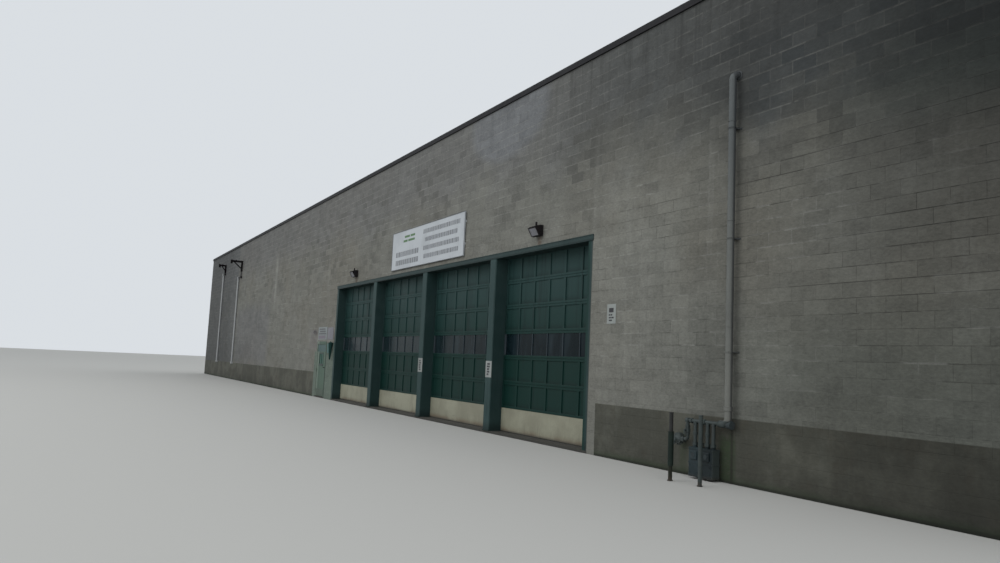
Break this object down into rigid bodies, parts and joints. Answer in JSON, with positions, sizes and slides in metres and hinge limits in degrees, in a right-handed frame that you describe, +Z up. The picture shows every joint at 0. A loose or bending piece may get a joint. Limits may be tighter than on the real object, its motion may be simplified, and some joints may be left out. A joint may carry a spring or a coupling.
{
  "type": "concrete-block warehouse, scale model at 1:2",
  "caption": "Half-size flat-roofed concrete-block warehouse with a row of green overhead doors, a hinged personnel door, coping, lamps, pipes and gas meters.",
  "frame": {"origin": "middle of the footprint at ground level, on the underside of the floor", "axes": "+X to the right seen from the street, along the length; +Y into the building; +Z up"},
  "size_m": [26.456, 12.6079, 3.9258],
  "materials": {
    "concrete_floor": "rough concrete",
    "block_wall": "weathered painted block",
    "roofing": "matt roofing sheet",
    "beam_steel": "primed steel",
    "coping_metal": "satin, weathered",
    "lintel_green": "weathered paint",
    "post_green": "weathered paint",
    "door_green": "satin paint",
    "kick_cream": "dirty cream paint",
    "dark_glass": "dusty",
    "seal_rubber": "matt",
    "track_steel": "galvanised",
    "pale_green_paint": "worn paint",
    "dark_hardware": "matt",
    "sign_white": "satin",
    "board_lilac": "matt",
    "box_teal": "satin",
    "conduit_white": "weathered paint",
    "pipe_grey": "weathered",
    "gas_pipe_dark": "weathered paint",
    "meter_blue_grey": "weathered paint"
  },
  "bodies": {
    "building": {"floor": "concrete_floor", "front_wall_left": "block_wall", "front_wall_over_doorway": "block_wall", "front_wall_pier": "block_wall", "front_wall_over_bays": "block_wall", "front_wall_right": "block_wall", "left_wall": "block_wall", "right_wall": "block_wall", "rear_wall": "block_wall", "roof_deck": "roofing", "roof_beams": "beam_steel", "coping_front": "coping_metal", "coping_rear": "coping_metal", "coping_left": "coping_metal", "coping_right": "coping_metal", "lintel": "lintel_green", "jamb_left": "post_green", "jamb_right": "post_green", "post_1": "post_green", "post_2": "post_green", "post_3": "post_green", "overhead_door_1": "door_green", "overhead_door_2": "door_green", "overhead_door_3": "door_green", "overhead_door_4": "door_green", "kick_panels": "kick_cream", "door_glass": "dark_glass", "bottom_seals": "seal_rubber", "door_tracks": "track_steel", "personnel_frame": "pale_green_paint", "flood_lamps": "dark_hardware", "wall_fixture": "dark_hardware", "lantern": "dark_hardware", "knee_brackets": "dark_hardware", "sign_board": "sign_white", "door_sign": "sign_white", "post_plates": "sign_white", "wall_plate": "sign_white", "plain_board": "board_lilac", "pier_box": "box_teal", "conduits": "conduit_white", "tall_pipe": "pipe_grey", "gas_pipework": "gas_pipe_dark", "regulator": "gas_pipe_dark", "guard_posts": "gas_pipe_dark", "gas_meter_1": "meter_blue_grey", "gas_meter_2": "meter_blue_grey"},
    "personnel_door": {"personnel_leaf": "pale_green_paint", "personnel_glass": "dark_glass", "personnel_lever": "dark_hardware"}
  },
  "joints": [
    {"name": "personnel_door_hinge", "type": "hinge", "parent": "building", "child": "personnel_door", "pos_m": [0.0025, -6.102, 0], "axis": [0, 0, -1], "range_deg": [0, 100]}
  ]
}
